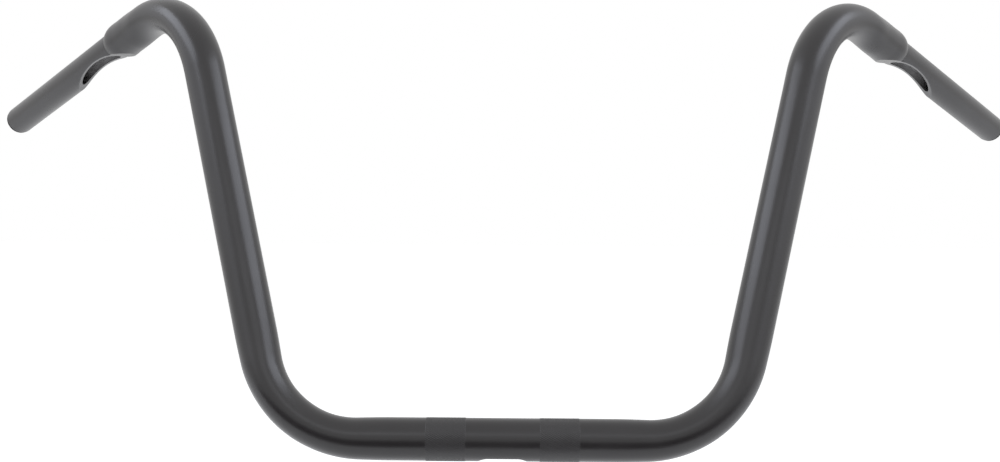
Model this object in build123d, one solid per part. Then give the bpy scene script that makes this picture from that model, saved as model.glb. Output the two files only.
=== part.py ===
from build123d import *
import os
from math import cos, radians, sin, tan

# Ape hanger handlebar: one fat bent tube, a slim grip tube welded into each end, and push-in end plugs.
# Millimetres and degrees. X runs along the clamp section, Y backwards to the rider, Z up.
# The origin is the middle of the clamp section, and the bar leans back as it sits in its risers.
# The rider's right hand is the throttle side, at -X, and the clutch side is its mirror image at +X.
os.makedirs("parts", exist_ok=True)

# Tubes
tube_d = 31.75
grip_d = 25.4
grip_wall = 3.0
spigot_step = 0.2
spigot_clearance = 0.2

# Course of the bar, from corner to corner of its centre line
corner_half = 167.1
arm_length = 367.5
arm_splay = 13.7
lean_back = 15.0
grip_sweep = 49.9
grip_drop = 4.0

# Bends, which flatten a round tube in their own plane and widen it across
bend_radius = 77.5
bend_squash = 2.6
bend_swell = 1.6
squash_run = 20.0

# Shoulder, where the fat tube narrows onto the grip tube
shoulder_run = 55.2
nose_length = 22.0
nose_end_slope = 28.0
nose_rim = 0.5
weld_run = 3.0

# Grip tubes
grip_length = 208.0
spigot_length = 30.0
spigot_chamfer = 1.0
grip_end_chamfer = 0.8

# Wiring notch, milled from front to back under each shoulder by a wide cutter on a level path
notch_cutter_d = 116.6
notch_floor = 9.6
notch_path = 40.0
notch_path_end = 1.7

# Wiring hole under the middle of the bar
hole_length = 36.0
hole_width = 14.4
hole_forward = 8.0

# Knurled bands for the riser clamps
knurl_centre = 41.9
knurl_width = 29.8
knurl_rise = 0.2

# End plugs
plug_flange_d = 24.4
plug_flange = 3.0
plug_chamfer = 1.0
plug_stem_length = 20.0
plug_clearance = 0.1
plug_fin_width = 2.5

# Radii that follow from the sizes above
tube_r = tube_d / 2
grip_r = grip_d / 2
spigot_r = grip_r - spigot_step
bore_r = spigot_r + spigot_clearance
tube_wall = tube_r - bore_r
grip_bore_r = grip_r - grip_wall
rim_r = grip_r + nose_rim

# Directions of the centre line on the clutch side
lean, splay = radians(lean_back), radians(arm_splay)
sweep_angle, drop = radians(grip_sweep), radians(grip_drop)
across = Vector(1, 0, 0)
rise = Vector(0, sin(lean), cos(lean))
back = Vector(0, cos(lean), -sin(lean))
arm_dir = across * sin(splay) + rise * cos(splay)
grip_dir = (across * cos(sweep_angle) + back * sin(sweep_angle)) * cos(drop) - rise * sin(drop)

# Corners of the centre line
lower_corner = across * corner_half
upper_corner = lower_corner + arm_dir * arm_length


def tangent_length(dir_in, dir_out):
    """Distance from a corner to the start of its bend."""
    return bend_radius * tan(radians(dir_in.get_angle(dir_out)) / 2)


lower_tangent = tangent_length(across, arm_dir)
upper_tangent = tangent_length(arm_dir, grip_dir)
shoulder = upper_corner + grip_dir * (upper_tangent + shoulder_run)
grip_end = shoulder + grip_dir * grip_length


def rod(start, direction, length, radius):
    """Round bar from a point along a direction."""
    return extrude(Plane(origin=start, z_dir=direction) * Circle(radius), amount=length)


def oval(point, direction, normal, share, inset):
    """Tube section at a point: round at share 0, fully flattened at share 1."""
    wide = tube_r + bend_swell / 2 * share - inset
    narrow = tube_r - bend_squash / 2 * share - inset
    outline = Ellipse(wide, narrow) if share else Circle(tube_r - inset)
    return Plane(origin=point, x_dir=normal, z_dir=direction) * outline


def round_to_oval(point, direction, normal, inset):
    """Stretch of tube that ends oval at a point and starts round one squash run before it."""
    round_end = oval(point - direction * squash_run, direction, normal, 0, inset)
    return loft([round_end, oval(point, direction, normal, 1, inset)])


def bend(corner, dir_in, dir_out, inset):
    """Bent stretch at a corner, with the change of section on both sides of it."""
    normal = dir_in.cross(dir_out).normalized()
    tangent = tangent_length(dir_in, dir_out)
    start = corner - dir_in * tangent
    end = corner + dir_out * tangent
    centre = start + normal.cross(dir_in) * bend_radius
    turn = dir_in.get_angle(dir_out)
    arc = revolve(oval(start, dir_in, normal, 1, inset), axis=Axis(centre, normal), revolution_arc=turn)
    return [round_to_oval(start, dir_in, normal, inset), arc, round_to_oval(end, -dir_out, normal, inset)]


def both_sides(pieces):
    """Clutch-side pieces with their throttle-side mirror images."""
    return pieces + [mirror(piece, about=Plane.YZ) for piece in pieces]


def tube_run(inset, end_length):
    """Whole run of the fat tube, inset from its outside, with a length of straight after the upper bends."""
    radius = tube_r - inset
    base_half = corner_half - lower_tangent - squash_run
    arm_start = lower_corner + arm_dir * (lower_tangent + squash_run)
    arm_straight = arm_length - lower_tangent - upper_tangent - 2 * squash_run
    end_start = upper_corner + grip_dir * (upper_tangent + squash_run)
    side = bend(lower_corner, across, arm_dir, inset) + bend(upper_corner, arm_dir, grip_dir, inset)
    side.append(rod(arm_start, arm_dir, arm_straight, radius))
    side.append(rod(end_start, grip_dir, end_length - squash_run, radius))
    return rod(across * -base_half, across, 2 * base_half, radius) + both_sides(side)


def nose():
    """Rounded nose from the full tube down to a thin rim around the grip tube."""
    slope = radians(nose_end_slope)
    tip = (nose_length, rim_r)
    curve = Spline((0, tube_r), tip, tangents=((1, 0), (cos(slope), -sin(slope))))
    outline = curve + Polyline(tip, (nose_length, 0), (0, 0), (0, tube_r))
    solid = revolve(make_face(outline), axis=Axis.X)
    start = shoulder - grip_dir * nose_length
    return Plane(origin=start, x_dir=grip_dir, z_dir=grip_dir.cross(rise)) * solid


def notch_cutter():
    """Space that the wide cutter of the wiring notch sweeps, from under the nose into the grip tube."""
    to_middle = Vector(notch_path_end - notch_path / 2, 0, -notch_floor - notch_cutter_d / 2)
    plane = Plane(origin=shoulder + to_middle, x_dir=across, z_dir=Vector(0, 1, 0))
    return extrude(plane * SlotCenterToCenter(notch_path, notch_cutter_d), amount=2 * tube_d, both=True)


def wiring_hole_cutter():
    """Oblong cutter through the underside of the clamp section."""
    angle = radians(hole_forward)
    down = Vector(0, -sin(angle), -cos(angle))
    outline = SlotOverall(hole_length, hole_width)
    return extrude(Plane(origin=(0, 0, 0), x_dir=across, z_dir=down) * outline, amount=tube_d)


def knurl_band():
    """Raised band that carries the knurl under one riser clamp."""
    return rod(across * (knurl_centre - knurl_width / 2), across, knurl_width, tube_r + knurl_rise)


def bar_tube():
    """Fat tube with its noses, bands, bore, weld mouths and wiring openings."""
    outside = tube_run(0, shoulder_run - nose_length) + both_sides([nose(), knurl_band()])
    bore = tube_run(tube_wall, shoulder_run - weld_run)
    mouth = rod(shoulder - grip_dir * 2 * weld_run, grip_dir, 3 * weld_run, spigot_r)
    cuts = both_sides([mouth, notch_cutter()]) + [wiring_hole_cutter()]
    return outside - bore - cuts


def grip_tube():
    """Grip tube of the clutch side, from its turned-down spigot to its open end."""
    start = shoulder - grip_dir * spigot_length
    tube = rod(start, grip_dir, spigot_length, spigot_r) + rod(shoulder, grip_dir, grip_length, grip_r)
    rims = tube.edges().filter_by(GeomType.CIRCLE).sort_by(Axis(start, grip_dir))
    tube = chamfer(rims[0], spigot_chamfer)
    rims = tube.edges().filter_by(GeomType.CIRCLE).sort_by(Axis(start, grip_dir))
    tube = chamfer(rims[-1], grip_end_chamfer)
    return tube - rod(start, grip_dir, spigot_length + grip_length, grip_bore_r) - notch_cutter()


def end_plug():
    """Push-in plug of the clutch side: slim flange with a bevelled rim, and a stem of crossed fins."""
    inward = -grip_dir
    flange = rod(grip_end, grip_dir, plug_flange, plug_flange_d / 2)
    rims = flange.edges().filter_by(GeomType.CIRCLE).sort_by(Axis(grip_end, grip_dir))
    flange = chamfer(rims[-1], plug_chamfer)
    fin = Rectangle(grip_d, plug_fin_width)
    stem_section = Circle(grip_bore_r - plug_clearance) & (fin + Rot(0, 0, 90) * fin)
    stem = extrude(Plane(origin=grip_end, z_dir=inward) * stem_section, amount=plug_stem_length)
    return flange + stem


clutch_grip = grip_tube()
clutch_plug = end_plug()
nodes = {
    "bar_tube": bar_tube(),
    "clutch_grip_tube": clutch_grip,
    "throttle_grip_tube": mirror(clutch_grip, about=Plane.YZ),
    "clutch_end_plug": clutch_plug,
    "throttle_end_plug": mirror(clutch_plug, about=Plane.YZ),
}
for name, solid in nodes.items():
    export_step(solid, f"parts/{name}.step")
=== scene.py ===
import logging
from dataclasses import dataclass, field, replace
from enum import Enum
from typing import Callable

import bpy
import numpy as np
from mathutils import Matrix


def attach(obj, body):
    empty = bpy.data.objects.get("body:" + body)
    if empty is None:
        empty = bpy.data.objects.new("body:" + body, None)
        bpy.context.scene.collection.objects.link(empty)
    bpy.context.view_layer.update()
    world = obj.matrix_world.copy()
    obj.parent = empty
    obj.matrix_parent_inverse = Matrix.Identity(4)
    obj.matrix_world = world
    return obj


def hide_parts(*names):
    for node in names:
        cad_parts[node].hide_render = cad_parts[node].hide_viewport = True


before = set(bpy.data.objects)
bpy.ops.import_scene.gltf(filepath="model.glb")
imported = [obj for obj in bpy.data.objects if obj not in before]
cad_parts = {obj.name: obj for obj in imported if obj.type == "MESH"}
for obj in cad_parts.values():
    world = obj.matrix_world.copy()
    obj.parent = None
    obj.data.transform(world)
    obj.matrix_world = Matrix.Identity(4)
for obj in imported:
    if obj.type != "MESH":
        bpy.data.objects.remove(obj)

# Sizes are millimetres and degrees, in the frame of the bar, unless a docstring says metres
MM = 0.001
BODY = "root"
MIRROR = np.array([-1.0, 1.0, 1.0])
Triple = tuple[float, float, float]
Colour = tuple[float, float, float, float]
Range = tuple[object, object]
log = logging.getLogger("handlebar")


class Side(Enum):
    """Side of the bar, with the sign of its X."""

    CLUTCH = 1
    THROTTLE = -1

    @property
    def word(self) -> str:
        """Name of the side as the pieces carry it."""
        return self.name.lower()


class Slot(Enum):
    """Material slots of the record."""

    POWDER_COAT = "powder_coat"
    PLUG_PLASTIC = "plug_plastic"


def unit(vector: np.ndarray) -> np.ndarray:
    """Vector or rows of vectors at length one."""
    return vector / np.linalg.norm(vector, axis=-1, keepdims=True)


def smooth(share: np.ndarray) -> np.ndarray:
    """Share from 0 to 1 eased at both ends, three times its square less twice its cube."""
    share = np.clip(share, 0.0, 1.0)
    return share * share * (3.0 - 2.0 * share)


def spaced(start: float, end: float, step: float) -> np.ndarray:
    """Evenly spaced values from start to end, both included, at most a step apart."""
    count = max(2, int(np.ceil(abs(end - start) / step)) + 1)
    return np.linspace(start, end, count)


def angles(count: int) -> np.ndarray:
    """Angles of a full turn without its last, repeated one."""
    return np.arange(count) * (2.0 * np.pi / count)


def on_clutch_side(points: np.ndarray) -> np.ndarray:
    """Rows of points, with those of the throttle side mirrored onto the clutch side."""
    return np.stack([np.abs(points[:, 0]), points[:, 1], points[:, 2]], axis=1)


def rotated(vectors: np.ndarray, axis: np.ndarray, turn: np.ndarray) -> np.ndarray:
    """Vectors turned about an axis: the cosine part, the cross part and the part along the axis.

    Args:
        vectors: one vector, or one for each angle.
        axis: unit vector to turn about.
        turn: angles in radians.

    Returns:
        One vector for each angle.
    """
    cosine, sine = np.cos(turn)[:, None], np.sin(turn)[:, None]
    along = (vectors @ axis)[..., None] * axis
    return vectors * cosine + np.cross(axis, vectors) * sine + along * (1.0 - cosine)


def linked(name: str, data: bpy.types.ID) -> bpy.types.Object:
    """Object of a mesh, lamp or camera, linked into the scene.

    Args:
        name: name of the object.
        data: what it shows.

    Returns:
        The object, at the origin.
    """
    item = bpy.data.objects.new(name, data)
    bpy.context.scene.collection.objects.link(item)
    return item


def pose(place: np.ndarray, right: np.ndarray, facing: np.ndarray) -> Matrix:
    """Matrix of a lamp or camera, which looks against its third axis.

    Args:
        place: its place in metres.
        right: unit vector to its right.
        facing: unit vector behind it.

    Returns:
        The matrix whose columns are right, up, facing and the place.
    """
    columns = np.stack([right, np.cross(facing, right), facing, place], axis=1)
    return Matrix(np.vstack([columns, [0.0, 0.0, 0.0, 1.0]]).tolist())


@dataclass
class Surface:
    """Grid of points whose columns close into rings.

    Attributes:
        points: rows by columns by 3, in millimetres.
        loop: whether the last row joins the first one.
        bore: for each row, one if it lies inside the tube and zero if not.
    """

    points: np.ndarray
    loop: bool = False
    bore: np.ndarray | None = None

    def mirrored(self, side: Side) -> "Surface":
        """Same surface on the given side, X times the sign of that side."""
        return Surface(self.points * np.array([side.value, 1.0, 1.0]), self.loop, self.bore)

    def quads(self) -> np.ndarray:
        """Corner indices of the quads between neighbouring rows and columns.

        Returns:
            Four indices for each quad.
        """
        rows, columns = self.points.shape[:2]
        row = np.arange(rows if self.loop else rows - 1)[:, None]
        column = np.arange(columns)[None, :]
        after_row, after_column = (row + 1) % rows, (column + 1) % columns
        corners = [row * columns + column, row * columns + after_column]
        corners += [after_row * columns + after_column, after_row * columns + column]
        return np.stack(np.broadcast_arrays(*corners), axis=-1).reshape(-1, 4)

    def turned_out(self, quads: np.ndarray) -> bool:
        """Whether the quads wind outwards: the sum of their cones to the middle has a positive volume.

        Args:
            quads: corner indices of the quads.

        Returns:
            True if they wind outwards.
        """
        points = self.points.reshape(-1, 3)
        a, b, c, d = (points - points.mean(axis=0))[quads.T]
        cones = np.cross(b - a, c - a) * a + np.cross(c - a, d - a) * a
        return float(cones.sum()) > 0.0

    def mesh(self, name: str) -> bpy.types.Mesh:
        """Mesh of the grid in metres, wound outwards, with flat caps on open ends.

        Args:
            name: name of the mesh.

        Returns:
            The mesh, smooth shaded.
        """
        quads = self.quads()
        rows, columns = self.points.shape[:2]
        caps = np.empty((0, columns), dtype=int)
        if not self.loop:
            first = np.arange(columns)[::-1]
            caps = np.stack([first, (rows - 1) * columns + first[::-1]])
        if not self.turned_out(quads):
            quads, caps = quads[:, ::-1], caps[:, ::-1]
        loops = np.concatenate([quads.ravel(), caps.ravel()])
        sizes = np.concatenate([np.full(len(quads), 4), np.full(len(caps), columns)])
        result = bpy.data.meshes.new(name)
        result.vertices.add(rows * columns)
        result.vertices.foreach_set("co", (self.points * MM).ravel().astype(np.float32))
        result.loops.add(len(loops))
        result.loops.foreach_set("vertex_index", loops.astype(np.int32))
        result.polygons.add(len(sizes))
        result.polygons.foreach_set("loop_start", (np.cumsum(sizes) - sizes).astype(np.int32))
        result.update(calc_edges=True)
        result.shade_smooth()
        if self.bore is not None:
            layer = result.attributes.new("bore", "FLOAT", "POINT")
            layer.data.foreach_set("value", np.repeat(self.bore, columns).astype(np.float32))
        return result


def revolved(start: np.ndarray, axis: np.ndarray, profile: np.ndarray, around: int, loop: bool) -> Surface:
    """Surface of revolution: each profile point is carried round the axis at its own distance from it.

    Args:
        start: point of the axis where the profile's first coordinate is 0.
        axis: direction of the axis, which is not upright.
        profile: rows of place along the axis and radius.
        around: columns of the grid.
        loop: whether the profile closes on itself.

    Returns:
        The surface, one ring for each profile point.
    """
    upright = np.array([0.0, 0.0, 1.0])
    first = unit(np.cross(axis, upright))
    second = np.cross(axis, first)
    turn = angles(around)[:, None]
    spokes = np.cos(turn) * first + np.sin(turn) * second
    places = start + profile[:, :1] * axis
    return Surface(places[:, None, :] + profile[:, 1][:, None, None] * spokes[None], loop)


def rounded_corner(
    centre: tuple[float, float], radius: float, start: float, end: float, count: int
) -> np.ndarray:
    """Arc of a profile: the centre plus the radius times the angle's cosine and sine.

    Args:
        centre: centre of the arc, as place along the axis and radius.
        radius: radius of the arc.
        start: first angle in degrees, 0 along the axis and 90 away from it.
        end: last angle in degrees.
        count: points on the arc.

    Returns:
        Rows of place and radius.
    """
    turn = np.radians(np.linspace(start, end, count))[:, None]
    return np.array(centre) + radius * np.hstack([np.cos(turn), np.sin(turn)])


def stadium(length: float, width: float, around: int) -> np.ndarray:
    """Outline of an oblong: a circle of half the width, its halves moved apart along the length.

    Args:
        length: overall length.
        width: overall width.
        around: points on the outline.

    Returns:
        Rows of the two flat coordinates.
    """
    turn = angles(around) + np.pi / around
    travel = (length - width) / 2.0 * np.sign(np.cos(turn))
    return np.stack([width / 2.0 * np.cos(turn) + travel, width / 2.0 * np.sin(turn)], axis=1)


class Nodes:
    """Short way to place and join the nodes of one tree."""

    def __init__(self, tree: bpy.types.NodeTree) -> None:
        """Tree to work in, emptied first."""
        self.tree = tree
        tree.nodes.clear()

    def add(self, kind: str, **settings: object) -> bpy.types.Node:
        """Place a node.

        Args:
            kind: type of the node.
            settings: properties to set on it.

        Returns:
            The node.
        """
        node = self.tree.nodes.new(kind)
        for name, value in settings.items():
            setattr(node, name, value)
        return node

    def feed(self, socket: bpy.types.NodeSocket, value: object) -> None:
        """Set an input's value, or link it.

        Args:
            socket: the input.
            value: a plain value, or the output to link it to.
        """
        if isinstance(value, bpy.types.NodeSocket):
            self.tree.links.new(value, socket)
        else:
            socket.default_value = value

    def put(self, node: bpy.types.Node, **values: object) -> bpy.types.Node:
        """Feed inputs of a node by name.

        Args:
            node: the node.
            values: what to feed each input, whose name has underscores for spaces.

        Returns:
            The node.
        """
        for name, value in values.items():
            self.feed(node.inputs[name.replace("_", " ")], value)
        return node

    def place(self) -> bpy.types.NodeSocket:
        """Point of the surface in the object's own coordinates."""
        return self.add("ShaderNodeTexCoord").outputs["Object"]

    def attribute(self, name: str) -> bpy.types.NodeSocket:
        """Value of a mesh attribute."""
        return self.add("ShaderNodeAttribute", attribute_name=name).outputs["Fac"]

    def noise(self, vector: bpy.types.NodeSocket, scale: object, detail: float) -> bpy.types.NodeSocket:
        """Value of a noise over the surface."""
        node = self.put(self.add("ShaderNodeTexNoise"), Vector=vector, Scale=scale, Detail=detail)
        return node.outputs["Fac"]

    def bump(self, height: bpy.types.NodeSocket, strength: float, distance: float) -> bpy.types.NodeSocket:
        """Normal bent by a height over the surface."""
        node = self.put(self.add("ShaderNodeBump"), Height=height, Strength=strength, Distance=distance)
        return node.outputs["Normal"]

    def math(self, operation: str, *values: object) -> bpy.types.NodeSocket:
        """Result of a math node.

        Args:
            operation: what it does with its values.
            values: plain values, or outputs to link.

        Returns:
            The result.
        """
        node = self.add("ShaderNodeMath", operation=operation)
        for socket, value in zip(node.inputs, values):
            self.feed(socket, value)
        return node.outputs[0]

    def ranged(self, value: bpy.types.NodeSocket, span: Range, result: Range) -> bpy.types.NodeSocket:
        """Value carried from one range to another and held at its ends.

        Args:
            value: the value.
            span: lowest and highest value.
            result: what those two become.

        Returns:
            The value in the new range.
        """
        node = self.add("ShaderNodeMapRange")
        self.put(node, Value=value, From_Min=span[0], From_Max=span[1], To_Min=result[0], To_Max=result[1])
        return node.outputs["Result"]

    def mixed(self, share: bpy.types.NodeSocket, first: object, second: object) -> bpy.types.NodeSocket:
        """Colour between two colours.

        Args:
            share: 0 for the first and 1 for the second.
            first: a colour, or an output.
            second: a colour, or an output.

        Returns:
            The colour.
        """
        node = self.add("ShaderNodeMix", data_type="RGBA")
        sockets = {socket.identifier: socket for socket in node.inputs}
        self.feed(sockets["Factor_Float"], share)
        self.feed(sockets["A_Color"], first)
        self.feed(sockets["B_Color"], second)
        return next(socket for socket in node.outputs if socket.identifier == "Result_Color")


class CoatTexture:
    """Shared node group of a sprayed or moulded skin: fine peel, soft mottle and haze, scaled per metre."""

    NAME = "skin_texture"
    INPUTS = {"Peel Scale": 900.0, "Mottle Scale": 38.0, "Haze Scale": 9.0}
    OUTPUTS = ("Height", "Mottle", "Haze")
    PEEL_DETAIL = 2.0
    GRAIN_RATIO = 3.1
    GRAIN_DETAIL = 1.0
    GRAIN_SHARE = 0.4
    MOTTLE_DETAIL = 4.0
    HAZE_DETAIL = 3.0
    HAZE_SPAN = (0.35, 0.75)

    @classmethod
    def group(cls) -> bpy.types.NodeTree:
        """Group, built once and then shared.

        Returns:
            The node group, with values that vary over the surface.
        """
        made = bpy.data.node_groups.get(cls.NAME)
        if made:
            return made
        tree = bpy.data.node_groups.new(cls.NAME, "ShaderNodeTree")
        for name, value in cls.INPUTS.items():
            socket = tree.interface.new_socket(name, in_out="INPUT", socket_type="NodeSocketFloat")
            socket.default_value = value
        for name in cls.OUTPUTS:
            tree.interface.new_socket(name, in_out="OUTPUT", socket_type="NodeSocketFloat")
        nodes = Nodes(tree)
        scales = nodes.add("NodeGroupInput").outputs
        place = nodes.place()
        peel = nodes.noise(place, scales["Peel Scale"], cls.PEEL_DETAIL)
        fine = nodes.math("MULTIPLY", scales["Peel Scale"], cls.GRAIN_RATIO)
        grain = nodes.noise(place, fine, cls.GRAIN_DETAIL)
        height = nodes.math("MULTIPLY_ADD", grain, cls.GRAIN_SHARE, peel)
        mottle = nodes.noise(place, scales["Mottle Scale"], cls.MOTTLE_DETAIL)
        haze = nodes.noise(place, scales["Haze Scale"], cls.HAZE_DETAIL)
        haze = nodes.ranged(haze, cls.HAZE_SPAN, (0.0, 1.0))
        nodes.put(nodes.add("NodeGroupOutput"), Height=height, Mottle=mottle, Haze=haze)
        return tree


@dataclass(frozen=True)
class Finish:
    """Finish of a surface, whose material is built once and then shared."""

    name: str

    def material(self) -> bpy.types.Material:
        """Material of the finish.

        Returns:
            The material, with one dressed shader.
        """
        made = bpy.data.materials.get(self.name)
        if made:
            return made
        made = bpy.data.materials.new(self.name)
        made.use_nodes = True
        nodes = Nodes(made.node_tree)
        shader = nodes.add("ShaderNodeBsdfPrincipled")
        self.dress(nodes, shader)
        nodes.put(nodes.add("ShaderNodeOutputMaterial"), Surface=shader.outputs["BSDF"])
        return made

    def dress(self, nodes: Nodes, shader: bpy.types.Node) -> None:
        """Feed the shader, which each finish does in its own way."""
        raise NotImplementedError


@dataclass(frozen=True)
class PowderCoat(Finish):
    """Satin black powder coat, worn thin on its rims under a painted edge highlight, and paler inside the
    tubes as bare steel with painted light, with its peel in metres.
    """

    name: str = "satin_powder_coat"
    dark: Colour = (0.0130, 0.0117, 0.0122, 1.0)
    light: Colour = (0.0205, 0.0187, 0.0192, 1.0)
    # Rim and knurl crest colour: worn thin coat, plus painted edge highlight on rims and painted sheen on
    # crests.
    worn_and_highlight: Colour = (0.070, 0.070, 0.075, 1.0)
    worn_and_highlight_span: Range = (0.2, 1.0)
    worn_and_highlight_share: Range = (0.0, 0.5)
    # Bore colour: bare steel, plus painted light inside the tube.
    inside: Colour = (0.340, 0.335, 0.330, 1.0)
    bore_steel_and_light_span: Range = (0.3, 0.7)
    bore_steel_and_light_share: Range = (0.6, 1.0)
    inside_rough: float = 0.6
    gloss: Range = (0.27, 0.38)
    peel_strength: float = 0.12
    peel_depth: float = 0.0002

    def dress(self, nodes: Nodes, shader: bpy.types.Node) -> None:
        """Mottled dark colour, lighter on rims by wear and a painted edge highlight, and in the bore by bare
        steel and painted light, with uneven gloss and a fine peel.

        Args:
            nodes: nodes of the material.
            shader: its shader.
        """
        skin = nodes.add("ShaderNodeGroup", node_tree=CoatTexture.group()).outputs
        bore, mottle = nodes.attribute("bore"), skin["Mottle"]
        # Rim mark: wear plus painted edge highlight; on knurl crests, wear plus painted sheen.
        wear_and_highlight = nodes.ranged(nodes.attribute("rim"), self.worn_and_highlight_span, self.worn_and_highlight_share)
        # Pale bore: bare steel plus painted light inside the tube.
        pale_steel_and_light = nodes.math("MULTIPLY", bore, nodes.ranged(mottle, self.bore_steel_and_light_span, self.bore_steel_and_light_share))
        colour = nodes.mixed(mottle, self.dark, self.light)
        colour = nodes.mixed(wear_and_highlight, colour, self.worn_and_highlight)
        colour = nodes.mixed(pale_steel_and_light, colour, self.inside)
        rough = nodes.ranged(skin["Haze"], (0.0, 1.0), self.gloss)
        rough = nodes.ranged(bore, (0.0, 1.0), (rough, self.inside_rough))
        peel = nodes.bump(skin["Height"], self.peel_strength, self.peel_depth)
        nodes.put(shader, Base_Color=colour, Roughness=rough, Normal=peel)


@dataclass(frozen=True)
class PlugPlastic(Finish):
    """Moulded black plastic with a fine spark-eroded grain, whose depth is in metres."""

    name: str = "moulded_plug_plastic"
    dark: Colour = (0.0035, 0.0035, 0.0036, 1.0)
    light: Colour = (0.0075, 0.0073, 0.0072, 1.0)
    gloss: Range = (0.42, 0.55)
    grain_scale: float = 2200.0
    grain_strength: float = 0.2
    grain_depth: float = 0.0001
    shine: float = 0.06

    def dress(self, nodes: Nodes, shader: bpy.types.Node) -> None:
        """Near-black mottled colour with uneven gloss and a fine grain.

        Args:
            nodes: nodes of the material.
            shader: its shader.
        """
        group = nodes.add("ShaderNodeGroup", node_tree=CoatTexture.group())
        skin = nodes.put(group, Peel_Scale=self.grain_scale).outputs
        colour = nodes.mixed(skin["Mottle"], self.dark, self.light)
        rough = nodes.ranged(skin["Haze"], (0.0, 1.0), self.gloss)
        grain = nodes.bump(skin["Height"], self.grain_strength, self.grain_depth)
        nodes.put(shader, Base_Color=colour, Roughness=rough, Normal=grain, Specular_IOR_Level=self.shine)


class Piece:
    """One visible piece: an object that rides on the bar and wears a finish."""

    def __init__(self, name: str, surface: Surface) -> None:
        """Object at the origin with its place in its mesh."""
        self.item = linked(name, surface.mesh(name))

    def cut(self, tools: list[Surface]) -> "Piece":
        """Take closed tool surfaces out of the mesh.

        Args:
            tools: closed surfaces to remove.

        Returns:
            This piece, with the cuts applied.
        """
        cutters = []
        for index, tool in enumerate(tools):
            cutter = Piece(f"{self.item.name}_tool_{index}", tool).item
            step = self.item.modifiers.new(f"cut_{index}", "BOOLEAN")
            step.operation, step.solver, step.object = "DIFFERENCE", "EXACT", cutter
            cutters.append(cutter)
        bpy.context.view_layer.update()
        shown = self.item.evaluated_get(bpy.context.evaluated_depsgraph_get())
        result = bpy.data.meshes.new_from_object(shown)
        self.item.modifiers.clear()
        self.item.data = result
        for cutter in cutters:
            bpy.data.objects.remove(cutter)
        return self

    def creased(self, degrees: float) -> "Piece":
        """Keep edges that turn by more than an angle sharp."""
        self.item.data.set_sharp_from_angle(angle=np.radians(degrees))
        return self

    def marked(self, name: str, formula: Callable[[np.ndarray], np.ndarray]) -> "Piece":
        """Store a value for each vertex.

        Args:
            name: name of the attribute.
            formula: function from points in millimetres to values.

        Returns:
            This piece.
        """
        mesh = self.item.data
        points = np.empty(len(mesh.vertices) * 3, dtype=np.float32)
        mesh.vertices.foreach_get("co", points)
        values = formula(points.reshape(-1, 3).astype(float) / MM)
        layer = mesh.attributes.new(name, "FLOAT", "POINT")
        layer.data.foreach_set("value", values.astype(np.float32))
        return self

    def finished(self, finish: Finish, slot: Slot, node: str = "") -> "Piece":
        """Dress the piece and set it on the bar.

        Args:
            finish: finish of the whole piece.
            slot: material slot of the record; not used.
            node: CAD node that it stands for, if any.

        Returns:
            This piece.
        """
        self.item.data.materials.clear()
        self.item.data.materials.append(finish.material())
        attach(self.item, BODY)
        if node:
            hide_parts(node)
        log.info("%s: %d faces", self.item.name, len(self.item.data.polygons))
        return self


@dataclass(frozen=True)
class Course:
    """Centre line of the bar on the clutch side, from the middle of the clamp section to the shoulder."""

    corner_half: float = 167.1
    arm_length: float = 367.5
    arm_splay: float = 13.7
    lean_back: float = 15.0
    grip_sweep: float = 49.9
    grip_drop: float = 4.0
    bend_radius: float = 77.5
    shoulder_run: float = 55.2

    @property
    def across(self) -> np.ndarray:
        """Direction of the clamp section."""
        return np.array([1.0, 0.0, 0.0])

    @property
    def rise(self) -> np.ndarray:
        """Upward direction in the leaning plane of the arms."""
        lean = np.radians(self.lean_back)
        return np.array([0.0, np.sin(lean), np.cos(lean)])

    @property
    def back(self) -> np.ndarray:
        """Direction square to the leaning plane, towards the rider."""
        lean = np.radians(self.lean_back)
        return np.array([0.0, np.cos(lean), -np.sin(lean)])

    @property
    def arm_dir(self) -> np.ndarray:
        """Upward direction of the arm."""
        splay = np.radians(self.arm_splay)
        return self.across * np.sin(splay) + self.rise * np.cos(splay)

    @property
    def grip_dir(self) -> np.ndarray:
        """Outward direction of the grip tube.

        Returns:
            Unit vector, swept back from the clamp section's direction and then dropped.
        """
        sweep, drop = np.radians(self.grip_sweep), np.radians(self.grip_drop)
        level = self.across * np.cos(sweep) + self.back * np.sin(sweep)
        return level * np.cos(drop) - self.rise * np.sin(drop)

    def turn(self, before: np.ndarray, after: np.ndarray) -> float:
        """Angle of a bend, in radians."""
        return float(np.arccos(before @ after))

    def tangent(self, before: np.ndarray, after: np.ndarray) -> float:
        """Distance from a corner to the start of its bend."""
        return self.bend_radius * float(np.tan(self.turn(before, after) / 2.0))

    @property
    def shoulder(self) -> np.ndarray:
        """Point where the fat tube ends on the grip tube.

        Returns:
            The corner at the top of the arm, plus the run from there along the grip tube.
        """
        upper_corner = self.across * self.corner_half + self.arm_dir * self.arm_length
        run = self.tangent(self.arm_dir, self.grip_dir) + self.shoulder_run
        return upper_corner + self.grip_dir * run

    @property
    def lengths(self) -> np.ndarray:
        """Lengths of the runs of the centre line.

        Returns:
            Lengths of the base, the lower bend, the arm, the upper bend and the end run.
        """
        lower_run = self.tangent(self.across, self.arm_dir)
        upper_run = self.tangent(self.arm_dir, self.grip_dir)
        base = self.corner_half - lower_run
        lower_bend = self.bend_radius * self.turn(self.across, self.arm_dir)
        arm = self.arm_length - lower_run - upper_run
        upper_bend = self.bend_radius * self.turn(self.arm_dir, self.grip_dir)
        return np.array([base, lower_bend, arm, upper_bend, self.shoulder_run])

    def about_grip(self, points: np.ndarray) -> tuple[np.ndarray, np.ndarray]:
        """Places of points about the axis of the grip tube of their own side.

        Args:
            points: rows of points on either side.

        Returns:
            Distances along the axis from the shoulder, and distances from the axis.
        """
        offset = on_clutch_side(points) - self.shoulder
        along = offset @ self.grip_dir
        return along, np.linalg.norm(offset - along[:, None] * self.grip_dir, axis=1)


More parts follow.
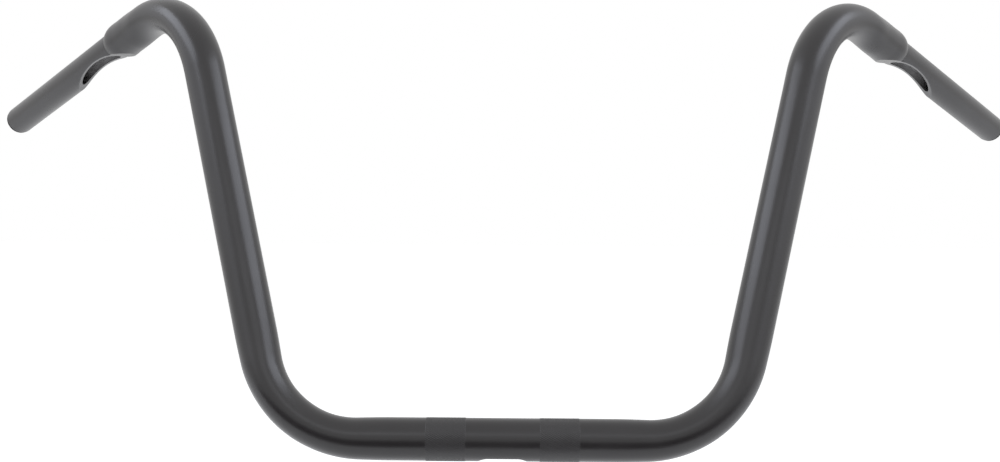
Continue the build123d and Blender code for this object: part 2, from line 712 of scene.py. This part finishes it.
@dataclass(frozen=True)
class Flattening:
    """How a bend flattens the tube in its own plane and widens it across.

    Attributes:
        squash: loss of diameter in the plane of the bend.
        swell: gain of diameter across that plane.
        run: length over which the section goes from round to oval.
        end_run: the same length after the upper bend.
        start: share of the flattening, before easing, at the start of a bend.
    """

    squash: float = 2.62
    swell: float = 1.6
    run: float = 60.0
    end_run: float = 20.0
    start: float = 0.4

    def shares(self, course: Course, places: np.ndarray) -> tuple[np.ndarray, np.ndarray]:
        """Shares of flattening before easing, which fall evenly with the distance from a bend.

        Args:
            course: the centre line.
            places: distances along it from the middle of the bar.

        Returns:
            Share that the lower bend gives at each place, and share that the upper bend gives.
        """
        _, lower_end, _, upper_end, _ = np.cumsum(course.lengths)
        _, lower_bend, _, upper_bend, _ = course.lengths
        lower_start, upper_start = lower_end - lower_bend, upper_end - upper_bend
        lower = self.start - np.maximum(lower_start - places, places - lower_end) / self.run
        upper = self.start - (upper_start - places) / self.run
        return lower, np.minimum(upper, 1.0 - (places - upper_end) / self.end_run)


@dataclass
class Line:
    """Stations along the centre line, each with a frame that turns only in the bends.

    Attributes:
        centres: points of the centre line.
        first: unit vectors across the line at angle 0.
        second: unit vectors across the line at a quarter turn.
        wide: unit vectors along which a bend widens the section.
        share: how far the section is flattened, 0 to 1.
    """

    centres: np.ndarray
    first: np.ndarray
    second: np.ndarray
    wide: np.ndarray
    share: np.ndarray

    @classmethod
    def along(cls, course: Course, places: np.ndarray, flattening: Flattening) -> "Line":
        """Stations at given distances along the centre line.

        A straight run adds its direction times the distance. A bend adds the spoke from its centre, turned
        by the distance over the bend radius, less that spoke as it was.

        Args:
            course: the centre line.
            places: distances from the middle of the bar, from 0 up.
            flattening: how the bends flatten the section.

        Returns:
            The stations with their frames.
        """
        across, arm, grip, radius = course.across, course.arm_dir, course.grip_dir, course.bend_radius
        lower_axis, upper_axis = unit(np.cross(across, arm)), unit(np.cross(arm, grip))
        starts = np.cumsum(course.lengths) - course.lengths
        runs = np.clip(places[:, None] - starts, 0.0, course.lengths)
        base, lower_bend, arm_run, upper_bend, end_run = np.split(runs, len(starts), axis=1)
        lower_turn, upper_turn = lower_bend[:, 0] / radius, upper_bend[:, 0] / radius
        lower_spoke = -np.cross(lower_axis, across) * radius
        upper_spoke = -np.cross(upper_axis, arm) * radius
        lower_arc = rotated(lower_spoke, lower_axis, lower_turn) - lower_spoke
        upper_arc = rotated(upper_spoke, upper_axis, upper_turn) - upper_spoke
        centres = across * base + lower_arc + arm * arm_run + upper_arc + grip * end_run
        first = rotated(lower_axis, upper_axis, upper_turn)
        heading = rotated(rotated(across, lower_axis, lower_turn), upper_axis, upper_turn)
        lower_share, upper_share = flattening.shares(course, places)
        wide = np.where((lower_share > upper_share)[:, None], lower_axis, upper_axis)
        share = smooth(np.maximum(lower_share, upper_share))
        return cls(centres, first, np.cross(heading, first), wide, share)

    def rings(self, radii: np.ndarray, flattening: Flattening, around: int) -> np.ndarray:
        """Rings of an oval section: each spoke is as long as the ellipse is in its direction.

        The half-axes are the radius plus half the swell along the wide direction, and the radius less half
        the squash across it, with swell and squash times the share of flattening.

        Args:
            radii: radius of the round section at each station.
            flattening: how the bends flatten the section.
            around: points on a ring.

        Returns:
            Points, stations by around by 3.
        """
        turn = angles(around)[None, :, None]
        spokes = np.cos(turn) * self.first[:, None] + np.sin(turn) * self.second[:, None]
        along_wide = np.einsum("sij,sj->si", spokes, self.wide)
        half_wide = (radii + flattening.swell / 2.0 * self.share)[:, None]
        half_narrow = (radii - flattening.squash / 2.0 * self.share)[:, None]
        inverse = (along_wide / half_wide) ** 2 + (1.0 - along_wide**2) / half_narrow**2
        return self.centres[:, None] + spokes / np.sqrt(inverse)[..., None]


@dataclass
class WiringHole:
    """Oblong hole under the middle of the bar."""

    length: float = 36.0
    width: float = 14.4
    forward_turn: float = 8.0
    depth: float = 32.0
    around: int = 96

    def tool(self) -> Surface:
        """Oblong prism through the underside: its outline carried down from the middle of the tube.

        Returns:
            The closed surface to take out.
        """
        turn = np.radians(self.forward_turn)
        down, along = np.array([0.0, -np.sin(turn), -np.cos(turn)]), np.array([1.0, 0.0, 0.0])
        outline = stadium(self.length, self.width, self.around)
        flat = outline[:, :1] * along + outline[:, 1:] * np.cross(down, along)
        return Surface(flat[None] + np.array([0.0, self.depth])[:, None, None] * down)


@dataclass
class WiringNotch:
    """Notch milled from front to back under a shoulder by a wide cutter on a level path."""

    cutter: float = 116.6
    floor: float = 9.6
    path: float = 40.0
    path_end: float = 1.7
    front: float = 63.5
    rear: float = 95.0
    around: int = 480

    def centre(self, course: Course) -> np.ndarray:
        """Middle of the cutter's path below the shoulder."""
        below = -self.floor - self.cutter / 2.0
        return course.shoulder + np.array([self.path_end - self.path / 2.0, 0.0, below])

    def tool(self, course: Course) -> Surface:
        """Oblong prism: the path of a round cutter carried level from front to back.

        Args:
            course: centre line of the bar.

        Returns:
            The closed surface to take out.
        """
        outline = stadium(self.path + self.cutter, self.cutter, self.around)
        flat = np.stack([outline[:, 0], np.zeros(len(outline)), outline[:, 1]], axis=1)
        sweep = np.array([-self.front, self.rear])[:, None, None] * np.array([0.0, 1.0, 0.0])
        return Surface(self.centre(course) + flat[None] + sweep)

    def distance(self, course: Course, points: np.ndarray) -> np.ndarray:
        """Distance from the cutter's wall: to the path's nearest point, less the cutter's radius.

        Args:
            course: centre line of the bar.
            points: rows of points on either side.

        Returns:
            The distance of each point, without its sign.
        """
        offset = on_clutch_side(points) - self.centre(course)
        over = np.maximum(np.abs(offset[:, 0]) - self.path / 2.0, 0.0)
        return np.abs(np.hypot(over, offset[:, 2]) - self.cutter / 2.0)


@dataclass
class BarTube:
    """Fat bent tube with its flattened bends, rounded noses, bore and wiring hole."""

    course: Course
    radius: float = 15.875
    wall: float = 3.175
    nose_length: float = 22.0
    nose_end_slope: float = 28.0
    rim_radius: float = 13.2
    rim_round: float = 0.3
    mouth_radius: float = 12.5
    weld_run: float = 3.0
    flattening: Flattening = Flattening()
    hole: WiringHole = field(default_factory=WiringHole)
    around: int = 80
    step: float = 2.0
    nose_rows: float = 3.0
    rim_points: int = 10
    bore_step: float = 6.0
    crease: float = 10.0
    wear_and_highlight_fade: float = 0.8

    @property
    def length(self) -> float:
        """Length of the centre line from the middle of the bar to the shoulder."""
        return float(self.course.lengths.sum())

    def nose_radii(self, places: np.ndarray) -> np.ndarray:
        """Outside radius along the nose: a cubic that leaves the tube level and meets the rim at its slope.

        Args:
            places: distances along the centre line.

        Returns:
            The radius at each place.
        """
        share = np.clip((places - self.length + self.nose_length) / self.nose_length, 0.0, 1.0)
        fall = -self.nose_length * np.tan(np.radians(self.nose_end_slope))
        blend = smooth(share)
        return self.radius * (1.0 - blend) + self.rim_radius * blend + fall * (share**3 - share**2)

    def outside(self) -> tuple[np.ndarray, np.ndarray]:
        """Outside of the tube, from the middle of the bar to its rounded rim.

        Returns:
            Places along the centre line, and the radius at each.
        """
        nose_start, nose_end = self.length - self.nose_length, self.length - self.rim_round
        straight = spaced(0.0, nose_start, self.step)[:-1]
        nose = spaced(nose_start, nose_end, self.step / self.nose_rows)
        centre = (nose_end, float(self.nose_radii(nose[-1:])[0]) - self.rim_round)
        edge = rounded_corner(centre, self.rim_round, 90.0 - self.nose_end_slope, 0.0, self.rim_points)
        places = np.concatenate([straight, nose[:-1]])
        return np.concatenate([places, edge[:, 0]]), np.concatenate([self.nose_radii(places), edge[:, 1]])

    def inside(self) -> tuple[np.ndarray, np.ndarray]:
        """Mouth and bore, from the shoulder back to the middle of the bar.

        Returns:
            Places along the centre line, and the radius at each.
        """
        mouth_end = self.length - self.weld_run
        bore = spaced(mouth_end, 0.0, self.bore_step)
        radii = [np.full(2, self.mouth_radius), np.full(len(bore), self.radius - self.wall)]
        return np.concatenate([[self.length, mouth_end], bore]), np.concatenate(radii)

    def surface(self) -> Surface:
        """Whole tube as one closed grid: the outside from mouth to mouth, and the bore back again.

        Returns:
            The surface, whose rows run from the middle out over the clutch side, back through its bore to
            the middle, and the mirrored way on the throttle side.
        """
        rings, marks = [], []
        for mark, (places, radii) in enumerate((self.outside(), self.inside())):
            line = Line.along(self.course, places, self.flattening)
            rings.append(line.rings(radii, self.flattening, self.around))
            marks.append(np.full(len(places), float(mark)))
        clutch, bore = np.concatenate(rings), np.concatenate(marks)
        throttle = (clutch * MIRROR)[::-1]
        points = np.concatenate([clutch, throttle[1:-1]])
        return Surface(points, True, np.concatenate([bore, bore[::-1][1:-1]]))

    def rim_wear_and_highlight(self, points: np.ndarray) -> np.ndarray:
        """Share of edge wear and painted edge highlight: one at the rim of the nose and fading away from it.
        """
        along, across = self.course.about_grip(points)
        return np.exp(-np.hypot(along, across - self.rim_radius) / self.wear_and_highlight_fade)

    def build(self, finish: Finish, notch: WiringNotch) -> Piece:
        """Tube with its wiring hole and the notches' ends cut.

        Args:
            finish: finish to dress it in.
            notch: wiring notch of the grip tubes.

        Returns:
            The piece.
        """
        tools = [self.hole.tool()] + [notch.tool(self.course).mirrored(side) for side in Side]
        piece = Piece("bar_tube_coated", self.surface())
        piece.cut(tools).creased(self.crease).marked("rim", self.rim_wear_and_highlight)
        return piece.finished(finish, Slot.POWDER_COAT, "bar_tube")


@dataclass
class KnurlBand:
    """Diamond knurl under one riser clamp."""

    centre: float = 41.9
    width: float = 29.8
    root_radius: float = 15.86
    crest_radius: float = 16.07
    starts: int = 66
    helix: float = 30.0
    crest_flat: float = 0.75
    run_out: float = 0.6
    tuck: float = 0.2
    # Lighter crests: coat wear plus painted sheen.
    least_wear_and_sheen: float = 0.2
    crest_wear_and_sheen: float = 0.3
    around: int = 528
    rows: int = 108

    def height(self, turn: np.ndarray, along: np.ndarray) -> np.ndarray:
        """Height of the knurl from 0 to 1: the lower of two crossed sets of ridges, cut off at their flats.

        Each set is a triangle wave of a phase that adds the turn times the starts to the distance along the
        band over the lead of the helix.

        Args:
            turn: angle round the band.
            along: distance along the band.

        Returns:
            Heights on the grid of both.
        """
        pitch = np.pi * 2.0 * self.root_radius * np.cos(np.radians(self.helix)) / self.starts
        climb = along * np.sin(np.radians(self.helix)) / pitch
        around = turn * self.starts / (2.0 * np.pi)
        ridges = [1.0 - np.abs(2.0 * np.mod(around + sign * climb, 1.0) - 1.0) for sign in (1.0, -1.0)]
        return np.minimum(np.minimum(*ridges) / self.crest_flat, 1.0)

    def surface(self, side: Side) -> Surface:
        """Sleeve of knurl: a cylinder whose radius rises with the knurl and runs out at both ends.

        Args:
            side: side of the bar.

        Returns:
            The sleeve, with its end rings tucked into the tube.
        """
        along = np.linspace(-self.width / 2.0, self.width / 2.0, self.rows)[:, None]
        turn = angles(self.around)[None, :]
        ends = smooth((self.width / 2.0 - np.abs(along)) / self.run_out)
        radius = self.root_radius + (self.crest_radius - self.root_radius) * self.height(turn, along) * ends
        radius = np.where(ends > 0.0, radius, self.root_radius - self.tuck)
        place = np.broadcast_to(side.value * self.centre + along, radius.shape)
        return Surface(np.stack([place, radius * np.cos(turn), radius * np.sin(turn)], axis=-1))

    def rim_wear_and_highlight(self, points: np.ndarray) -> np.ndarray:
        """Share of crest wear and painted sheen, which grows with the height of the knurl."""
        rise = np.hypot(points[:, 1], points[:, 2]) - self.root_radius
        return self.least_wear_and_sheen + self.crest_wear_and_sheen * rise / (self.crest_radius - self.root_radius)

    def build(self, finish: Finish, side: Side) -> Piece:
        """Knurled sleeve of one side.

        Args:
            finish: finish to dress it in.
            side: side of the bar.

        Returns:
            The piece.
        """
        piece = Piece(f"{side.word}_knurl_band", self.surface(side))
        piece.marked("rim", self.rim_wear_and_highlight)
        return piece.finished(finish, Slot.POWDER_COAT)


@dataclass
class GripTube:
    """Slim tube for one grip, with its spigot and wiring notch."""

    course: Course
    radius: float = 12.7
    wall: float = 3.0
    length: float = 208.0
    spigot_radius: float = 12.5
    spigot_length: float = 30.0
    spigot_chamfer: float = 1.0
    end_round: float = 0.8
    notch: WiringNotch = field(default_factory=WiringNotch)
    around: int = 96
    step: float = 2.0
    end_points: int = 12
    crease: float = 10.0
    wear_and_highlight_fade: float = 0.7

    @property
    def bore(self) -> float:
        """Radius of the bore."""
        return self.radius - self.wall

    @property
    def end(self) -> np.ndarray:
        """Middle of the tube's open end."""
        return self.course.shoulder + self.course.grip_dir * self.length

    def profile(self) -> np.ndarray:
        """Closed outline of the wall: spigot, step, outside, rounded end and bore.

        Returns:
            Rows of place along the axis from the shoulder, and radius.
        """
        start, chamfer = -self.spigot_length, self.spigot_chamfer
        face = np.array([[start, self.bore], [start, self.spigot_radius - chamfer]])
        spigot = np.array([[start + chamfer, self.spigot_radius], [0.0, self.spigot_radius]])
        outside = spaced(0.0, self.length - self.end_round, self.step)
        wall = np.stack([outside, np.full_like(outside, self.radius)], axis=1)
        centre = (self.length - self.end_round, self.radius - self.end_round)
        edge = rounded_corner(centre, self.end_round, 90.0, 0.0, self.end_points)
        bore = spaced(self.length, start, self.step)[:-1]
        inner = np.stack([bore, np.full_like(bore, self.bore)], axis=1)
        return np.concatenate([face, spigot, wall, edge[1:], inner])

    def rim_wear_and_highlight(self, points: np.ndarray) -> np.ndarray:
        """Share of edge wear and painted edge highlight: one along the notch's two rims and the tube's end,
        fading away from them.

        Args:
            points: rows of points on either side.

        Returns:
            The share at each point.
        """
        along, across = self.course.about_grip(points)
        land = self.notch.distance(self.course, points)
        rims = np.minimum(np.hypot(land, across - self.radius), np.hypot(land, across - self.bore))
        end = np.hypot(along - self.length, across - self.radius)
        return np.exp(-np.minimum(rims, end) / self.wear_and_highlight_fade)

    def build(self, finish: Finish, side: Side) -> Piece:
        """Grip tube of one side with its notch cut.

        Args:
            finish: finish to dress it in.
            side: side of the bar.

        Returns:
            The piece.
        """
        profile = self.profile()
        body = revolved(self.course.shoulder, self.course.grip_dir, profile, self.around, loop=True)
        body.bore = np.isclose(profile[:, 1], self.bore).astype(float)
        piece = Piece(f"{side.word}_grip_tube_coated", body.mirrored(side))
        piece.cut([self.notch.tool(self.course).mirrored(side)])
        piece.creased(self.crease).marked("rim", self.rim_wear_and_highlight)
        return piece.finished(finish, Slot.POWDER_COAT, f"{side.word}_grip_tube")


@dataclass
class EndPlug:
    """Push-in plug with a slim bevelled flange and a shallow dish."""

    grip: GripTube
    flange_radius: float = 12.2
    flange: float = 3.0
    bevel: float = 1.0
    bevel_angle: float = 45.0
    rim_round: float = 0.5
    back_round: float = 0.3
    dish_radius: float = 9.6
    dish_depth: float = 0.5
    lip: float = 0.8
    stem_radius: float = 9.6
    stem_length: float = 20.0
    stem_chamfer: float = 0.8
    pole: float = 0.4
    around: int = 96
    rim_points: int = 6
    back_points: int = 5
    lip_points: int = 7
    crease: float = 40.0

    def stem(self) -> np.ndarray:
        """Outline of the stem, from the middle of its end to the flange.

        Returns:
            Rows of place along the axis from the tube's end, and radius.
        """
        end, chamfer = -self.stem_length, self.stem_chamfer
        tip = [[end, self.pole], [end, self.stem_radius - chamfer]]
        side = [[end + chamfer, self.stem_radius], [0.0, self.stem_radius]]
        return np.array(tip + side)

    def rim(self) -> np.ndarray:
        """Outline of the flange's edge: a rounded back, and a bevel rounded into the side and the face.

        Returns:
            Rows of place along the axis from the tube's end, and radius.
        """
        inset = self.bevel + self.rim_round * float(np.tan(np.radians(self.bevel_angle / 2.0)))
        back = (self.back_round, self.flange_radius - self.back_round)
        outer = (self.flange - inset, self.flange_radius - self.rim_round)
        inner = (self.flange - self.rim_round, self.flange_radius - inset)
        return np.concatenate([
            rounded_corner(back, self.back_round, 180.0, 90.0, self.back_points),
            rounded_corner(outer, self.rim_round, 90.0, self.bevel_angle, self.rim_points),
            rounded_corner(inner, self.rim_round, self.bevel_angle, 0.0, self.rim_points),
        ])

    def face(self) -> np.ndarray:
        """Outline of the dished face: a lip that eases down into a flat floor.

        Returns:
            Rows of place along the axis from the tube's end, and radius.
        """
        share = np.linspace(0.0, 1.0, self.lip_points)
        floor = self.flange - self.dish_depth
        fall = self.flange - self.dish_depth * smooth(share)
        lip = np.stack([fall, self.dish_radius + self.lip - self.lip * share], axis=1)
        return np.vstack([lip, [[floor, self.dish_radius / 2.0], [floor, self.pole]]])

    def build(self, finish: Finish, side: Side) -> Piece:
        """Plug of one side.

        Args:
            finish: finish to dress it in.
            side: side of the bar.

        Returns:
            The piece.
        """
        profile = np.concatenate([self.stem(), self.rim(), self.face()])
        body = revolved(self.grip.end, self.grip.course.grip_dir, profile, self.around, loop=False)
        piece = Piece(f"{side.word}_end_plug_moulded", body.mirrored(side)).creased(self.crease)
        return piece.finished(finish, Slot.PLUG_PLASTIC, f"{side.word}_end_plug")


def seen_share(nodes: Nodes) -> bpy.types.NodeSocket:
    """One for rays from the camera, a reflection or a refraction, which all see plain white.

    Args:
        nodes: nodes of the material or the world.

    Returns:
        The share, one or zero.
    """
    path = nodes.add("ShaderNodeLightPath").outputs
    direct = nodes.math("MAXIMUM", path["Is Camera Ray"], path["Is Glossy Ray"])
    return nodes.math("MAXIMUM", direct, path["Is Transmission Ray"])


@dataclass(frozen=True)
class PaleFloor(Finish):
    """Pale matt floor that glows a little where it is seen, so it is white but keeps a shadow."""

    name: str = "pale_floor"
    dark: Colour = (0.81, 0.81, 0.81, 1.0)
    light: Colour = (0.83, 0.83, 0.83, 1.0)
    mottle_scale: float = 0.6
    mottle_detail: float = 2.0
    glow: float = 0.53
    glow_colour: Colour = (1.0, 1.0, 1.0, 1.0)

    def dress(self, nodes: Nodes, shader: bpy.types.Node) -> None:
        """Faintly mottled pale colour, with a white glow.

        Args:
            nodes: nodes of the material.
            shader: its shader.
        """
        mottle = nodes.noise(nodes.place(), self.mottle_scale, self.mottle_detail)
        colour = nodes.mixed(mottle, self.dark, self.light)
        glow = nodes.ranged(seen_share(nodes), (0.0, 1.0), (0.0, self.glow))
        nodes.put(shader, Base_Color=colour, Roughness=1.0, Specular_IOR_Level=0.0)
        nodes.put(shader, Emission_Color=self.glow_colour, Emission_Strength=glow)


@dataclass(frozen=True)
class FlagCloth(Finish):
    """Matt black cloth with a faint weave."""

    name: str = "flag_cloth"
    dark: Colour = (0.055, 0.040, 0.042, 1.0)
    light: Colour = (0.085, 0.065, 0.068, 1.0)
    weave_scale: float = 300.0
    weave_detail: float = 2.0

    def dress(self, nodes: Nodes, shader: bpy.types.Node) -> None:
        """Dark colour that varies with the weave.

        Args:
            nodes: nodes of the material.
            shader: its shader.
        """
        weave = nodes.noise(nodes.place(), self.weave_scale, self.weave_detail)
        colour = nodes.mixed(weave, self.dark, self.light)
        nodes.put(shader, Base_Color=colour, Roughness=1.0, Specular_IOR_Level=0.0)


@dataclass(frozen=True)
class Softbox:
    """One rectangular studio lamp.

    Attributes:
        name: name of the lamp.
        place: middle of the lamp in metres.
        aim: point that it faces in metres.
        size: width and height in metres.
        power: power in watts.
        colour: colour of the light.
        upright: direction that its height keeps closest to.
    """

    name: str
    place: Triple
    aim: Triple
    size: tuple[float, float]
    power: float
    colour: Triple
    upright: Triple = (0.0, 0.001, 1.0)

    def on_left(self) -> "Softbox":
        """Twin of a right-hand lamp on the other side of the bar."""
        x, y, z = self.place
        return replace(self, name=self.name.replace("right", "left"), place=(-x, y, z))

    def build(self) -> None:
        """Put the lamp at its place, facing its aim."""
        lamp = bpy.data.lights.new(self.name, "AREA")
        lamp.shape = "RECTANGLE"
        lamp.size, lamp.size_y = self.size
        lamp.energy, lamp.color = self.power, self.colour
        place = np.array(self.place)
        facing = unit(place - np.array(self.aim))
        right = unit(np.cross(np.array(self.upright), facing))
        linked(self.name, lamp).matrix_world = pose(place, right, facing)


@dataclass
class Studio:
    """White studio: floor, surround, softboxes, a dark flag and the camera.

    Attributes:
        floor_low: front left corner of the floor.
        floor_high: back right corner of the floor.
        flag_low: front left corner of the dark flag.
        flag_high: back right corner of the dark flag.
        surround_light: strength of the surround where it isn't seen.
        eye: place of the camera.
        forward: direction that it looks in.
        right: direction to its right.
        focal_pixels: focal length in pixels of the photograph.
        image_width: width of the photograph in pixels.
        sensor: width of the camera's sensor.
        reach: how far the camera sees, in metres.
        top_lamp: lamp over the front.
        right_lamps: lamps on the right, each of which has a twin on the left.
    """

    floor_low: Triple = (-30000.0, -30000.0, -250.0)
    floor_high: Triple = (30000.0, 30000.0, -250.0)
    flag_low: Triple = (-900.0, -1300.0, -40.0)
    flag_high: Triple = (900.0, -170.0, -130.0)
    surround_light: float = 0.58
    eye: Triple = (-1.8, -1069.41, 157.49)
    forward: Triple = (-0.00136, 0.99999, -0.00320)
    right: Triple = (0.99996, 0.00139, 0.00850)
    focal_pixels: float = 1449.0
    image_width: float = 1000.0
    sensor: float = 36.0
    reach: float = 200.0
    top_lamp: Softbox = Softbox(
        "top_softbox", (0.0, -1.45, 1.0), (0.0, 0.0, 0.0), (1.0, 0.3), 1.1, (0.90, 0.93, 1.0)
    )
    right_lamps: tuple[Softbox, ...] = (
        Softbox("right_softbox", (1.6, -0.42, 1.57), (0.0, 0.1, 0.2), (2.3, 0.9), 20.0, (0.85, 0.89, 1.0)),
        Softbox(
            "right_low_softbox", (1.7, -0.42, 0.74), (0.0, 0.1, 0.2), (2.3, 0.85), 3.8, (0.88, 0.91, 1.0)
        ),
    )

    def sheet(self, name: str, low: Triple, high: Triple, finish: Finish) -> bpy.types.Object:
        """Flat sheet of the stage, level from left to right.

        Args:
            name: name of the sheet.
            low: its front left corner.
            high: its back right corner.
            finish: finish to dress it in.

        Returns:
            The object.
        """
        corners = np.array([low, (high[0], low[1], low[2]), high, (low[0], high[1], high[2])])
        mesh = bpy.data.meshes.new(name)
        mesh.from_pydata((corners * MM).tolist(), [], [(0, 1, 2, 3)])
        mesh.materials.append(finish.material())
        item = linked(name, mesh)
        return item

    def flag(self) -> None:
        """Put up a dark board below the frame, whose reflection draws the streak along the clamp section."""
        item = self.sheet("dark_flag", self.flag_low, self.flag_high, FlagCloth())
        item.visible_camera = False
        item.visible_diffuse = False
        item.visible_shadow = False

    def surround(self) -> None:
        """Make a world that is white where it is seen and a plain soft light elsewhere."""
        world = bpy.data.worlds.new("white_surround")
        world.use_nodes = True
        nodes = Nodes(world.node_tree)
        strength = nodes.ranged(seen_share(nodes), (0.0, 1.0), (self.surround_light, 1.0))
        sky = nodes.put(nodes.add("ShaderNodeBackground"), Color=(1.0, 1.0, 1.0, 1.0), Strength=strength)
        nodes.put(nodes.add("ShaderNodeOutputWorld"), Surface=sky.outputs["Background"])
        bpy.context.scene.world = world

    def camera(self) -> None:
        """Put the camera at the photograph's place, with the axes that the fit gave."""
        lens = bpy.data.cameras.new("photo_camera")
        lens.sensor_width = self.sensor
        lens.lens = self.sensor * self.focal_pixels / self.image_width
        lens.clip_end = self.reach
        facing = -unit(np.array(self.forward))
        right = np.array(self.right)
        right = unit(right - facing * (right @ facing))
        item = linked("photo_camera", lens)
        item.matrix_world = pose(np.array(self.eye) * MM, right, facing)
        bpy.context.scene.camera = item

    def build(self) -> None:
        """Build the surround, floor, flag, lamps and camera, with plain view settings."""
        bpy.context.scene.view_settings.view_transform = "Standard"
        self.surround()
        self.sheet("studio_floor", self.floor_low, self.floor_high, PaleFloor())
        self.flag()
        self.top_lamp.build()
        for lamp in self.right_lamps:
            lamp.on_left().build()
            lamp.build()
        self.camera()


def main() -> None:
    """Build the bar, its knurl, grip tubes and plugs, then the studio."""
    logging.basicConfig(level=logging.INFO, format="%(message)s")
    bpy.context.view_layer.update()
    course = Course()
    coat, plastic = PowderCoat(), PlugPlastic()
    grip = GripTube(course)
    BarTube(course).build(coat, grip.notch)
    for side in Side:
        KnurlBand().build(coat, side)
        grip.build(coat, side)
        EndPlug(grip).build(plastic, side)
    Studio().build()


if __name__ == "__main__":
    main()
